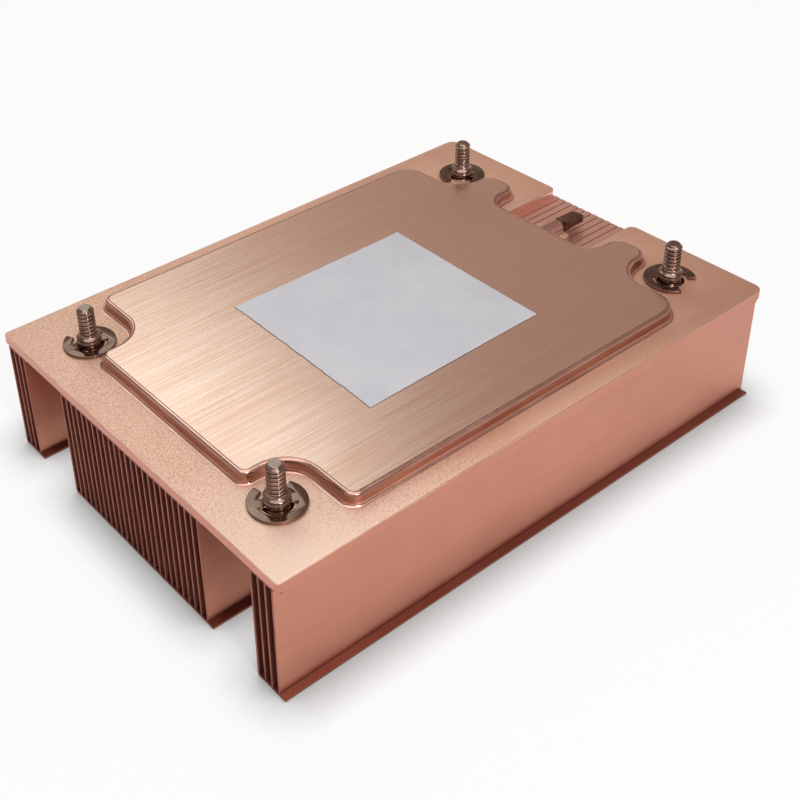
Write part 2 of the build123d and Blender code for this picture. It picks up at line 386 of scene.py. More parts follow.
blasted = blastedCopper()
brushed = brushedCopper()
pressed = pressedCopper("pressedCopper", pressedLook)
shadedWall = pressedCopper("shadedWallCopper", shadedWallLook)
groove = grooveCopper()
sheet = sheetCopper()
sheared = shearedCopper()
wick = sinteredCopper()
tubeFinish = tubeCopper()
screwSteel = platedSteel("platedScrewSteel", screwLook)
clipSteel = platedSteel("platedClipSteel", clipLook)
springSteel = platedSteel("springWireSteel", springLook)
paste = padPaste()
padEdgeShade = platedSteel("paintedPadEdgeShade", padEdgeShadeLook)
print("finishes made")


def meshObject(name, mesh, materials):
    places = [face.material_index for face in mesh.polygons]  # lost when the materials are cleared
    mesh.materials.clear()
    for material in materials:
        mesh.materials.append(material)
    mesh.polygons.foreach_set("material_index", places)
    piece = bpy.data.objects.new(name, mesh)
    link(piece)
    return piece


def dressed(piece, body, slot, *nodes):
    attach(piece, body)
    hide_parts(*nodes)


def madeMesh(shape, name):
    mesh = bpy.data.meshes.new(name)
    shape.to_mesh(mesh)
    return mesh


def smoothUnder(mesh, degrees):
    mesh.polygons.foreach_set("use_smooth", [True] * len(mesh.polygons))
    mesh.set_sharp_from_angle(angle=math.radians(degrees))


def evaluated(piece, name):
    bpy.context.view_layer.update()
    mesh = bpy.data.meshes.new_from_object(piece.evaluated_get(bpy.context.evaluated_depsgraph_get()))
    mesh.name = name
    bpy.data.objects.remove(piece)
    return mesh


def arcSteps(radius):
    if radius < 1:
        return 4
    return 8 if radius < 3 else 14


def outlinePoints(corners, outset=0.0):
    # corners are (x, y, radius) in mm, anticlockwise; each arc keeps its centre when the outline moves out
    points = []
    count = len(corners)
    for index, (x, y, radius) in enumerate(corners):
        before = Vector(corners[index - 1][:2])
        after = Vector(corners[(index + 1) % count][:2])
        here = Vector((x, y))
        inward = (here - before).normalized()
        outward = (after - here).normalized()
        turn = inward.x * outward.y - inward.y * outward.x
        side = 1 if turn > 0 else -1
        half = math.acos(max(-1, min(1, inward.dot(outward)))) / 2
        reach = radius * math.tan(half)
        left = Vector((-inward.y, inward.x)) * side
        centre = here - inward * reach + left * radius
        steps = arcSteps(radius)
        moved = max(radius + side * outset, 0.02)
        for step in range(steps + 1):
            angle = side * 2 * half * step / steps
            arm = -left
            turned = Vector((arm.x * math.cos(angle) - arm.y * math.sin(angle),
                             arm.x * math.sin(angle) + arm.y * math.cos(angle)))
            points.append(centre + turned * moved)
    return points


def circlePoints(x, y, radius, steps):
    angles = [2 * math.pi * i / steps for i in range(steps)]
    return [Vector((x + radius * math.cos(a), y + radius * math.sin(a))) for a in angles]


def addRing(mesh, points, z):
    return [mesh.verts.new((p.x * mm, p.y * mm, z * mm)) for p in points]


def bridgeRings(mesh, low, high, material=0):
    count = len(low)
    for i in range(count):
        j = (i + 1) % count
        face = mesh.faces.new((low[i], low[j], high[j], high[i]))
        face.material_index = material


def fillBetween(mesh, rings, up, material=0):
    # flat face inside the first ring and outside the others
    loops = [[v.co for v in ring] for ring in rings]
    flat = [v for ring in rings for v in ring]
    for a, b, c in tessellate_polygon(loops):
        corners = [flat[a], flat[b], flat[c]]
        if len(set(corners)) < 3:
            continue
        ab = corners[1].co - corners[0].co
        ac = corners[2].co - corners[0].co
        if (ab.cross(ac).z > 0) != up:
            corners.reverse()
        mesh.faces.new(corners).material_index = material


shellSizes = {
    "plateX": 57.5, "plateY": 41.6, "leftRadius": 0.8, "rightRadius": 2.0,
    "notchY": 10.15, "notchX": 42.7, "mouthRadius": 1.5, "innerRadius": 1.0,
    "tongueLow": -4.75, "tongueHigh": 2.75, "tongueX": 45.6, "tongueCorner": 1.2, "tongueRoot": 0.8,
    "bodyX": 38.6, "bodyY": 36.0, "blockX": 48.2, "blockY": 20.9,
    "blockRadius": 1.3, "blockRoot": 6.8, "bodyLeftRadius": 1.5, "bodyRightRadius": 4.0, "tabRoot": 6.8,
    "tabX": 48.3, "tabY": 14.1, "tabRadius": 2.4, "wallX": 40.2, "wallRadius": 4.5,
    "flangeTop": 24.8, "plateauTop": 27.1, "sheetLow": 23.95,
    "wallOutset": 0.66, "footOutset": 0.76, "shoulderDrop": 0.62, "footRadius": 0.55,
    "footSteps": 5, "shoulderSteps": 8, "grooveWidth": 0.18, "grooveDepth": 0.06,
    "edgeRound": 0.14, "screwX": 47.0, "screwY": 28.0, "holeRadius": 2.7, "holeSteps": 40,
    "wallStrips": 3, "grooveStrips": 2, "smoothUnder": 28,
}


def plateCorners(s):
    return [
        (-s["plateX"], -s["plateY"], s["leftRadius"]),
        (s["plateX"], -s["plateY"], s["rightRadius"]),
        (s["plateX"], -s["notchY"], s["mouthRadius"]),
        (s["notchX"], -s["notchY"], s["innerRadius"]),
        (s["notchX"], s["tongueLow"], s["tongueRoot"]),
        (s["tongueX"], s["tongueLow"], s["tongueCorner"]),
        (s["tongueX"], s["tongueHigh"], s["tongueCorner"]),
        (s["notchX"], s["tongueHigh"], s["tongueRoot"]),
        (s["notchX"], s["notchY"], s["innerRadius"]),
        (s["plateX"], s["notchY"], s["mouthRadius"]),
        (s["plateX"], s["plateY"], s["rightRadius"]),
        (-s["plateX"], s["plateY"], s["leftRadius"]),
    ]


def rimCorners(s):
    upper = [
        (-s["blockX"], s["blockY"], s["blockRadius"]),
        (-s["bodyX"], s["blockY"], s["blockRoot"]),
        (-s["bodyX"], s["bodyY"], s["bodyLeftRadius"]),
        (s["bodyX"], s["bodyY"], s["bodyRightRadius"]),
        (s["bodyX"], s["blockY"], s["tabRoot"]),
        (s["tabX"], s["blockY"], s["tabRadius"]),
        (s["tabX"], s["tabY"], s["tabRadius"]),
        (s["wallX"], s["tabY"], s["wallRadius"]),
    ]
    lower = [(x, -y, radius) for x, y, radius in reversed(upper)]
    return list(reversed(upper + lower))


def wallProfile(s):
    # (outset, z) from the flange up: foot fillet, wall, rolled shoulder, and the groove at the flat's edge
    top, rows = s["plateauTop"], []
    for step in range(s["footSteps"] + 1):
        angle = math.pi / 2 * step / s["footSteps"]
        rows.append((s["footOutset"] + s["footRadius"] * (1 - math.sin(angle)),
                     s["flangeTop"] + s["footRadius"] * (1 - math.cos(angle))))
    for step in range(s["shoulderSteps"] + 1):
        angle = math.pi / 2 * (1 - step / s["shoulderSteps"])
        drop = s["shoulderDrop"] * (1 - math.cos(angle))
        rows.append((s["wallOutset"] * math.sin(angle), top - drop))
    wide = s["grooveWidth"]
    return rows + [(-wide / 2, top - s["grooveDepth"]), (-wide, top)]


shellFinishes = [blasted, brushed, pressed, groove, shadedWall, sheet]
onFlange, onPlateau, onShoulder, inGroove, onWall, onEdge = range(6)  # places in the list above


def wallFinish(strip, strips, s):
    # strips are counted from the flange up
    if strip >= strips - s["grooveStrips"]:
        return inGroove
    # the steep wall strips take the darker copy, a painted shade
    if s["footSteps"] <= strip < s["footSteps"] + s["wallStrips"]:
        return onWall
    return onShoulder


def upperSheet(s):
    mesh = bmesh.new()
    plate = plateCorners(s)
    rim = rimCorners(s)
    low = addRing(mesh, outlinePoints(plate), s["sheetLow"])
    side = []
    for inset, drop in ((0.0, 1.0), (0.3, 0.3), (1.0, 0.0)):  # the eased upper edge
        points = outlinePoints(plate, -inset * s["edgeRound"])
        side.append(addRing(mesh, points, s["flangeTop"] - drop * s["edgeRound"]))
    bridgeRings(mesh, low, side[0], onEdge)
    for first, second in zip(side, side[1:]):
        bridgeRings(mesh, first, second, onShoulder)
    walls = [addRing(mesh, outlinePoints(rim, outset), z) for outset, z in wallProfile(s)]
    for strip, (first, second) in enumerate(zip(walls, walls[1:])):
        bridgeRings(mesh, first, second, wallFinish(strip, len(walls) - 1, s))
    fillBetween(mesh, [walls[-1]], True, onPlateau)
    holesTop, holesLow = [], []
    for x, y in ((-1, 1), (-1, -1), (1, -1), (1, 1)):
        points = circlePoints(x * s["screwX"], y * s["screwY"], s["holeRadius"], s["holeSteps"])
        holesTop.append(addRing(mesh, points, s["flangeTop"]))
        holesLow.append(addRing(mesh, points, s["sheetLow"]))
        bridgeRings(mesh, holesTop[-1], holesLow[-1], onShoulder)
    fillBetween(mesh, [side[-1], walls[0], *holesTop], True, onFlange)
    fillBetween(mesh, [low, *holesLow], False, onFlange)
    return mesh


bulgeSizes = {
    "radius": 1.77, "axisY": -1.0, "axisZ": 25.17, "fromX": 38.8, "toX": 45.6, "endRound": 0.5,
    "foot": 0.45, "sunk": 0.3, "steps": 18, "endSteps": 5,
}


def bulgeSection(mesh, b, x, shrink):
    # half round over the tube, on flared feet that are sunk a little into the sheet
    radius = b["radius"] - shrink
    low = shellSizes["flangeTop"] - b["axisZ"]
    foot = b["foot"]
    half = [(radius + foot, low - b["sunk"]), (radius + foot, low), (radius + 0.3 * foot, low + 0.3 * foot),
            (radius, low + foot)]
    ring = [(-y, z) for y, z in half]
    for step in range(b["steps"] + 1):
        angle = math.pi * (1 - step / b["steps"])
        ring.append((radius * math.cos(angle), radius * math.sin(angle)))
    ring += reversed(half)
    return [mesh.verts.new((x * mm, (b["axisY"] + y) * mm, (b["axisZ"] + z) * mm)) for y, z in ring]


def fillBulge(mesh, b):
    rows = [bulgeSection(mesh, b, b["fromX"], 0)]
    for step in range(b["endSteps"] + 1):  # the rolled end
        angle = math.pi / 2 * step / b["endSteps"]
        x = b["toX"] - b["endRound"] * (1 - math.sin(angle))
        rows.append(bulgeSection(mesh, b, x, b["endRound"] * (1 - math.cos(angle))))
    for first, second in zip(rows, rows[1:]):
        bridgeRings(mesh, first, second, onShoulder)
    mesh.faces.new(rows[0]).material_index = onShoulder
    mesh.faces.new(list(reversed(rows[-1]))).material_index = onShoulder


def makeShell():
    body = upperSheet(shellSizes)
    cover = bmesh.new()
    fillBulge(cover, bulgeSizes)
    bmesh.ops.recalc_face_normals(cover, faces=cover.faces)
    body.from_mesh(madeMesh(cover, "fillBulge"))
    mesh = madeMesh(body, "upperSheet")
    smoothUnder(mesh, shellSizes["smoothUnder"])
    piece = meshObject("upperSheet", mesh, shellFinishes)
    dressed(piece, "root", "chamber_copper", "evaporator_shell")


makeShell()
print("upper sheet pressed")


finSizes = {
    "height": 23.1, "pitch": 1.75, "gauge": 0.4, "foldRadius": 0.45, "foldSteps": 4, "halfLength": 57.5,
    "groups": {"back": (40.1, 4), "centre": (21.2, 25), "front": (-34.6, 4)},  # first web and number of fins
    "endScatter": 0.0007, "seed": 7, "smoothUnder": 35,
    "lipCutLeft": 0.8, "lipCutRight": 2.0, "lipHeight": 0.6, "lipDepth": 0.1,
}


def finBlank(f):
    # one folded sheet with its web's outer face at y = 0, open towards -Y, along the whole length
    inner = f["foldRadius"] - f["gauge"]
    outer, inside = [], []
    for centreZ, start in ((f["foldRadius"], -90), (f["height"] - f["foldRadius"], 0)):
        for step in range(f["foldSteps"] + 1):
            angle = math.radians(start + 90 * step / f["foldSteps"])
            for radius, side in ((f["foldRadius"], outer), (inner, inside)):
                y = radius * math.cos(angle) - f["foldRadius"]
                side.append((y, centreZ + radius * math.sin(angle)))
    tip = -f["pitch"]
    loop = [(tip, 0)] + outer + [(tip, f["height"]), (tip, f["height"] - f["gauge"])]
    loop += list(reversed(inside)) + [(tip, f["gauge"])]
    mesh = bmesh.new()
    ends = []
    for x in (-f["halfLength"], f["halfLength"]):
        ends.append([mesh.verts.new((x * mm, y * mm, z * mm)) for y, z in loop])
    for i in range(len(loop)):
        j = (i + 1) % len(loop)
        mesh.faces.new((ends[0][i], ends[0][j], ends[1][j], ends[1][i]))
    for end, facing in zip(ends, (-1, 1)):
        for a, b, c in tessellate_polygon([[v.co for v in end]]):
            corners = [end[a], end[b], end[c]]
            across = (end[b].co - end[a].co).cross(end[c].co - end[a].co)
            if across.x * facing < 0:
                corners.reverse()
            mesh.faces.new(corners)
    bmesh.ops.recalc_face_normals(mesh, faces=mesh.faces)
    result = madeMesh(mesh, "finBlank")
    smoothUnder(result, f["smoothUnder"])
    return result


def geometryTree(name, inputs):
    # inputs are names with their kinds; the last thing returned finds an input's identifier
    tree = bpy.data.node_groups.new(name, "GeometryNodeTree")
    tree.interface.new_socket("Geometry", in_out="INPUT", socket_type="NodeSocketGeometry")
    for label, kind in inputs.items():
        tree.interface.new_socket(label, in_out="INPUT", socket_type="NodeSocket" + kind)
    tree.interface.new_socket("Geometry", in_out="OUTPUT", socket_type="NodeSocketGeometry")
    graph = Graph(tree)
    group = graph.add("NodeGroupInput")
    idents = {item.name: item.identifier for item in tree.interface.items_tree if item.in_out == "INPUT"}
    return tree, graph, group, idents


def treeEnd(graph, geometry, material):
    realized = graph.add("GeometryNodeRealizeInstances", None, {"Geometry": geometry}).out("Geometry")
    sockets = {"Geometry": realized, "Material": material}
    done = graph.add("GeometryNodeSetMaterial", None, sockets).out("Geometry")
    graph.add("NodeGroupOutput", None, {"Geometry": done})


def runTree(name, mesh, tree, idents, values):
    worker = bpy.data.objects.new(name + "Worker", mesh)
    link(worker)
    modifier = worker.modifiers.new("tree", "NODES")
    modifier.node_group = tree
    for label, value in values.items():
        modifier[idents[label]] = value
    return evaluated(worker, name)


def finTree():
    tree, graph, group, idents = geometryTree("finStack", {
        "Fins": "Int", "Pitch": "Float", "First web": "Float", "End scatter": "Float", "Seed": "Int",
        "Finish": "Material",
    })
    step = graph.add("ShaderNodeCombineXYZ", None, {"Y": 0 - group.out("Pitch")}).out("Vector")
    first = graph.add("ShaderNodeCombineXYZ", None, {"Y": group.out("First web")}).out("Vector")
    sockets = {"Count": group.out("Fins"), "Start Location": first, "Offset": step}
    places = graph.add("GeometryNodeMeshLine", {"mode": "OFFSET", "count_mode": "TOTAL"}, sockets).out("Mesh")
    sockets = {2: 1 - group.out("End scatter"), 3: 1.0, "Seed": group.out("Seed")}
    length = graph.add("FunctionNodeRandomValue", {"data_type": "FLOAT"}, sockets).out(1)
    scale = graph.add("ShaderNodeCombineXYZ", None, {"X": length, "Y": 1.0, "Z": 1.0}).out("Vector")
    sockets = {"Points": places, "Instance": group.out("Geometry"), "Scale": scale}
    stack = graph.add("GeometryNodeInstanceOnPoints", None, sockets).out("Instances")
    treeEnd(graph, stack, group.out("Finish"))
    return tree, idents


def cutLip(mesh, f, lipY):
    # the last fin's open upper lip is cut back where the sheet above has its rounded corners
    for vertex in mesh.vertices:
        x, y, z = vertex.co
        if z > (f["height"] - f["lipHeight"]) * mm and y < (lipY + f["lipDepth"]) * mm:
            vertex.co.x += (-f["lipCutRight"] if x > 0 else f["lipCutLeft"]) * mm


def makeFins():
    f = finSizes
    tree, idents = finTree()
    for number, (group, (firstWeb, count)) in enumerate(f["groups"].items()):
        mesh = runTree(group + "Fins", finBlank(f), tree, idents, {
            "Fins": count, "Pitch": f["pitch"] * mm, "First web": firstWeb * mm,
            "End scatter": f["endScatter"], "Seed": f["seed"] + number, "Finish": sheet,
        })
        for face in mesh.polygons:  # the sheared ends have their own finish
            face.material_index = 1 if abs(face.normal.x) > 0.9 else 0
        if group == "front":
            cutLip(mesh, f, firstWeb - count * f["pitch"])
        nodes = [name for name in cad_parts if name.startswith("fin_" + group + "_")]
        dressed(meshObject(group + "Fins", mesh, [sheet, sheared]), "root", "fin_copper", *nodes)


makeFins()
print("fins folded")


screwSizes = {
    "places": [(-47.0, 28.0), (-47.0, -28.0), (47.0, -28.0), (47.0, 28.0)],
    "headLow": 11.0, "headTop": 13.6, "headRadius": 4.0, "headRound": 0.35, "rimRound": 0.15,
    "shankRadius": 2.25, "neckRadius": 1.8, "ease": 0.12, "segments": 56,
    "neckLow": 24.7, "neckTop": 25.4, "shankTop": 26.7, "coneTop": 27.5, "tip": 32.9,
    "threadRadius": 1.6, "threadDepth": 0.36, "threadPitch": 0.8, "threadSunk": 0.5, "tipChamfer": 0.55,
    "runOutDepth": 0.16, "runOutSteps": 32, "turnEach": 1.3,
    "recessWidth": 4.2, "recessSlot": 1.1, "recessDepth": 1.5, "recessTaper": 0.62,
    "headFillet": 0.15, "neckChamfer": 0.1, "around": 48, "along": 150, "smoothUnder": 42,
}
threadForm = {  # lengths in metres
    "closedEnd": 0.0002, "fadeIn": 0.0006, "slope": 3.2, "edge": 0.35, "mergeWithin": 0.000001,
}


def threadTree():
    t = threadForm
    tree, graph, group, idents = geometryTree("rolledThread", {
        "Bottom": "Float", "Length": "Float", "Radius": "Float", "Depth": "Float", "Pitch": "Float",
        "Tip chamfer": "Float", "Around": "Int", "Along": "Int", "Finish": "Material",
    })
    # a flat grid is wrapped round the screw's axis: its X is the turn, and its Y runs up and over the tip
    sockets = {
        "Size X": 1.0, "Size Y": 1.0,
        "Vertices X": group.out("Around"), "Vertices Y": group.out("Along"),
    }
    flat = graph.add("GeometryNodeMeshGrid", None, sockets).out("Mesh")
    gridX, gridY, _ = axes(graph, graph.add("GeometryNodeInputPosition").out("Position"))
    turn = gridX + 0.5
    length, radius, chamfer = group.out("Length"), group.out("Radius"), group.out("Tip chamfer")
    cap = radius - chamfer
    travel = (gridY + 0.5) * (length + cap)
    rise = travel.math("MINIMUM", length)
    over = ((travel - length) / cap).clamped()
    start = (travel / t["closedEnd"]).clamped()  # the lower end closes to a point inside the shank
    phase = (rise / group.out("Pitch") - turn).math("FRACT")
    ridge = ((phase - 0.5).math("ABSOLUTE") * t["slope"] - t["edge"]).clamped()
    ridge = ridge * ridge * (3 - 2 * ridge)
    runOut = ((rise - t["closedEnd"]) / t["fadeIn"]).clamped()
    body = radius - group.out("Depth") * ridge * runOut
    tipLimit = cap + (length - rise)
    body = body.math("MINIMUM", tipLimit) * (1 - over) * start
    angle = turn * (2 * math.pi)
    sockets = {
        "X": body * angle.math("COSINE"), "Y": body * angle.math("SINE"), "Z": group.out("Bottom") + rise,
    }
    placed = graph.add("ShaderNodeCombineXYZ", None, sockets).out("Vector")
    sockets = {"Geometry": flat, "Position": placed}
    wrapped = graph.add("GeometryNodeSetPosition", None, sockets).out("Geometry")
    sockets = {"Geometry": wrapped, "Distance": t["mergeWithin"]}
    joined = graph.add("GeometryNodeMergeByDistance", None, sockets).out("Geometry")
    treeEnd(graph, joined, group.out("Finish"))
    return tree, idents


def lathe(mesh, profile, segments):
    rings = []
    for radius, z in profile:
        if radius < 1e-6:
            rings.append([mesh.verts.new((0, 0, z * mm))])
        else:
            rings.append(addRing(mesh, circlePoints(0, 0, radius, segments), z))
    for first, second in zip(rings, rings[1:]):
        for i in range(segments):
            j = (i + 1) % segments
            if len(first) == 1:
                mesh.faces.new((first[0], second[j], second[i]))
            elif len(second) == 1:
                mesh.faces.new((first[i], first[j], second[0]))
            else:
                mesh.faces.new((first[i], first[j], second[j], second[i]))


def cornerArc(radius, z, size, first, steps):
    # quarter of a circle round (radius, z), as points (radius, z) of a turned profile
    angles = [math.radians(first + 90 * step / steps) for step in range(steps + 1)]
    return [(radius + size * math.cos(a), z + size * math.sin(a)) for a in angles]


def screwBody(s):
    low, rim = s["headRound"], s["rimRound"]
    profile = [(0, s["headLow"])]
    profile += cornerArc(s["headRadius"] - low, s["headLow"] + low, low, -90, 5)
    profile += cornerArc(s["headRadius"] - rim, s["headTop"] - rim, rim, 0, 4)
    shank, neck, fillet, chamfer = s["shankRadius"], s["neckRadius"], s["headFillet"], s["neckChamfer"]
    profile += [(shank + fillet, s["headTop"]), (shank, s["headTop"] + fillet)]
    profile += [(shank, s["neckLow"] - chamfer), (shank - chamfer, s["neckLow"]), (neck, s["neckLow"])]
    profile += [(neck, s["neckTop"]), (shank - s["ease"], s["neckTop"])]
    start, top, cone = s["neckTop"] + s["ease"], s["coneTop"], s["shankTop"]
    # the last turns of the thread run down over the cone and the shank
    for step in range(s["runOutSteps"] + 1):
        z = start + (top - start) * step / s["runOutSteps"]
        narrowing = max(0, z - cone) / (top - cone)
        valley = 0.5 - 0.5 * math.cos(2 * math.pi * (top - z) / s["threadPitch"])
        profile.append((shank - (shank - s["threadRadius"]) * narrowing - s["runOutDepth"] * valley, z))
    profile.append((0, top))
    mesh = bmesh.new()
    lathe(mesh, profile, s["segments"])
    bmesh.ops.recalc_face_normals(mesh, faces=mesh.faces)
    return madeMesh(mesh, "screwBody")


def crossCutter(s):
    mesh = bmesh.new()
    wide, slot = s["recessWidth"] / 2, s["recessSlot"] / 2
    loop = [(wide, -slot), (wide, slot), (slot, slot), (slot, wide), (-slot, wide), (-slot, slot),
            (-wide, slot), (-wide, -slot), (-slot, -slot), (-slot, -wide), (slot, -wide), (slot, -slot)]
    low = addRing(mesh, [Vector(spot) for spot in loop], s["headLow"] - 1)
    high = addRing(mesh, [Vector(spot) * s["recessTaper"] for spot in loop], s["headLow"] + s["recessDepth"])
    bridgeRings(mesh, low, high)
    mesh.faces.new(list(reversed(low)))
    mesh.faces.new(high)
    bmesh.ops.recalc_face_normals(mesh, faces=mesh.faces)
    return madeMesh(mesh, "crossCutter")


def makeScrews():
    s = screwSizes
    tree, idents = threadTree()
    blank = bpy.data.meshes.new("threadBlank")
    bottom = s["coneTop"] - s["threadSunk"]
    thread = runTree("rolledThread", blank, tree, idents, {
        "Bottom": bottom * mm, "Length": (s["tip"] - bottom) * mm,
        "Radius": s["threadRadius"] * mm, "Depth": s["threadDepth"] * mm, "Pitch": s["threadPitch"] * mm,
        "Tip chamfer": s["tipChamfer"] * mm, "Around": s["around"] + 1, "Along": s["along"],
        "Finish": screwSteel,
    })
    body = bpy.data.objects.new("screwBlank", screwBody(s))
    cutter = bpy.data.objects.new("crossCutter", crossCutter(s))
    for piece in (body, cutter):
        link(piece)
    cut = body.modifiers.new("recess", "BOOLEAN")
    cut.operation, cut.object, cut.solver = "DIFFERENCE", cutter, "EXACT"
    driven = evaluated(body, "drivenHead")
    bpy.data.objects.remove(cutter)
    for number, (x, y) in enumerate(s["places"], start=1):
        mesh = bmesh.new()
        mesh.from_mesh(driven)
        stud = bmesh.new()
        stud.from_mesh(thread)
        bmesh.ops.recalc_face_normals(stud, faces=stud.faces)
        bmesh.ops.rotate(stud, verts=stud.verts, matrix=Matrix.Rotation(s["turnEach"] * number, 3, "Z"))
        mesh.from_mesh(madeMesh(stud, "stud"))
        bmesh.ops.translate(mesh, verts=mesh.verts, vec=(x * mm, y * mm, 0))
        for face in mesh.faces:
            face.material_index = 0
        result = madeMesh(mesh, f"threadedScrew{number}")
        smoothUnder(result, s["smoothUnder"])
        piece = meshObject(f"threadedScrew{number}", result, [screwSteel])
        dressed(piece, f"turning_screw_{number}", "screw_steel", f"screw_{number}")


makeScrews()
print("screws threaded")


easeSizes = {
    "clip": 0.24, "clipSegments": 4, "tube": 0.15, "tubeSegments": 3,
    "mergeWithin": 0.002, "flatAngle": 1, "sharpAngle": 40, "smoothUnder": 50,
}


def eased(node, name, width, segments, material):
    # the node's own shape, with its triangles merged into faces and its edges eased
    e = easeSizes
    mesh = bmesh.new()
    mesh.from_mesh(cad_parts[node].data)
    bmesh.ops.remove_doubles(mesh, verts=mesh.verts, dist=e["mergeWithin"] * mm)
    flat = math.radians(e["flatAngle"])
    bmesh.ops.dissolve_limit(mesh, angle_limit=flat, verts=mesh.verts, edges=mesh.edges)
    worker = bpy.data.objects.new(name + "Worker", madeMesh(mesh, name))
    link(worker)
    ease = worker.modifiers.new("ease", "BEVEL")
    ease.width, ease.segments, ease.limit_method = width * mm, segments, "ANGLE"
    ease.angle_limit = math.radians(e["sharpAngle"])
    result = evaluated(worker, name)
    smoothUnder(result, e["smoothUnder"])
    return meshObject(name, result, [material])


def makeClipsAndTube():
    e = easeSizes
    for number in range(1, len(screwSizes["places"]) + 1):
        node = f"retaining_clip_{number}"
        clip = eased(node, f"easedClip{number}", e["clip"], e["clipSegments"], clipSteel)
        dressed(clip, f"clip_{number}", "screw_steel", node)
    tube = eased("fill_tube", "crimpedTube", e["tube"], e["tubeSegments"], tubeFinish)
    dressed(tube, "root", "tube_copper", "fill_tube")


makeClipsAndTube()
print("clips and fill tube eased")


springSizes = {
    "low": 13.6, "high": 23.1, "wire": 0.8, "radius": 3.1, "turns": 6.2, "closedTurns": 0.8,
    "pressed": 6.0 / 9.5,  # length at full lift, as a share of the length at rest
    "seat": 0.6,  # height of the wire's centre over a ground end, in wire radii
    "perTurn": 22, "sides": 8, "turnEach": 0.7, "smoothUnder": 60,
}


def springTree():
    tree, graph, group, idents = geometryTree("woundSpring", {
        "Low": "Float", "High": "Float", "Coil radius": "Float", "Wire radius": "Float", "Turns": "Float",
        "Closed turns": "Float", "Points": "Int", "Sides": "Int", "Finish": "Material",
    })
    line = graph.add("GeometryNodeCurvePrimitiveLine").out("Curve")
    sockets = {"Curve": line, "Count": group.out("Points")}
    points = graph.add("GeometryNodeResampleCurve", None, sockets).out("Curve")
    along = graph.add("GeometryNodeSplineParameter").out("Factor")
    closed = group.out("Closed turns") / group.out("Turns")
    share = ((along - closed) / (1 - 2 * closed)).clamped()
    wire, low, high = group.out("Wire radius"), group.out("Low"), group.out("High")
    seat = springSizes["seat"]
    height = low + wire * seat + (high - low - wire * (2 * seat)) * share
    angle = along * group.out("Turns") * (2 * math.pi)
    radius = group.out("Coil radius")
    sockets = {"X": radius * angle.math("COSINE"), "Y": radius * angle.math("SINE"), "Z": height}
    place = graph.add("ShaderNodeCombineXYZ", None, sockets).out("Vector")
    coil = graph.add("GeometryNodeSetPosition", None, {"Geometry": points, "Position": place}).out("Geometry")
    sockets = {"Resolution": group.out("Sides"), "Radius": wire}
    ring = graph.add("GeometryNodeCurvePrimitiveCircle", None, sockets).out("Curve")
    sockets = {"Curve": coil, "Profile Curve": ring, "Fill Caps": True}
    tube = graph.add("GeometryNodeCurveToMesh", None, sockets).out("Mesh")
    # both ends are ground flat
    x, y, z = axes(graph, graph.add("GeometryNodeInputPosition").out("Position"))
    sockets = {"X": x, "Y": y, "Z": z.math("MAXIMUM", low).math("MINIMUM", high)}
    place = graph.add("ShaderNodeCombineXYZ", None, sockets).out("Vector")
    flat = graph.add("GeometryNodeSetPosition", None, {"Geometry": tube, "Position": place}).out("Geometry")
    treeEnd(graph, flat, group.out("Finish"))
    return tree, idents


def makeSprings():
    s = springSizes
    tree, idents = springTree()
    blank = bpy.data.meshes.new("springBlank")
    wound = runTree("woundSpring", blank, tree, idents, {
        "Low": s["low"] * mm, "High": s["high"] * mm, "Coil radius": s["radius"] * mm,
        "Wire radius": s["wire"] / 2 * mm, "Turns": s["turns"], "Closed turns": s["closedTurns"],
        "Points": round(s["turns"] * s["perTurn"]), "Sides": s["sides"], "Finish": springSteel,
    })
    for number, (x, y) in enumerate(screwSizes["places"], start=1):
        mesh = wound.copy()
        turn = Matrix.Rotation(s["turnEach"] * number, 4, "Z")
        mesh.transform(Matrix.Translation((x * mm, y * mm, 0)) @ turn)
        smoothUnder(mesh, s["smoothUnder"])
        piece = meshObject(f"coilSpring{number}", mesh, [springSteel])
        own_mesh(piece)
        dressed(piece, "root", "spring_steel", f"spring_{number}")


makeSprings()
print("springs wound")


padSizes = {
    "corners": [(-22.3, 17.1), (-23.0, -22.1), (17.4, -21.6), (18.05, 16.8)],
    "low": 27.1, "high": 27.3, "stepsPerEdge": 90,
    "ragged": [0.26, 0.10, 0.08, 0.16],  # how far each edge is worn back
    "wearFine": 2.1, "wearBroad": 0.5, "fineShare": 0.5, "leastWear": 0.35, "wearSeeds": (3.7, 8.1),
    "cornerFade": 10,  # the wear fades out over a tenth of each edge
    "shadeLineWidth": 0.13,  # width of the painted shade line round the pad
    "smoothUnder": 40,
}


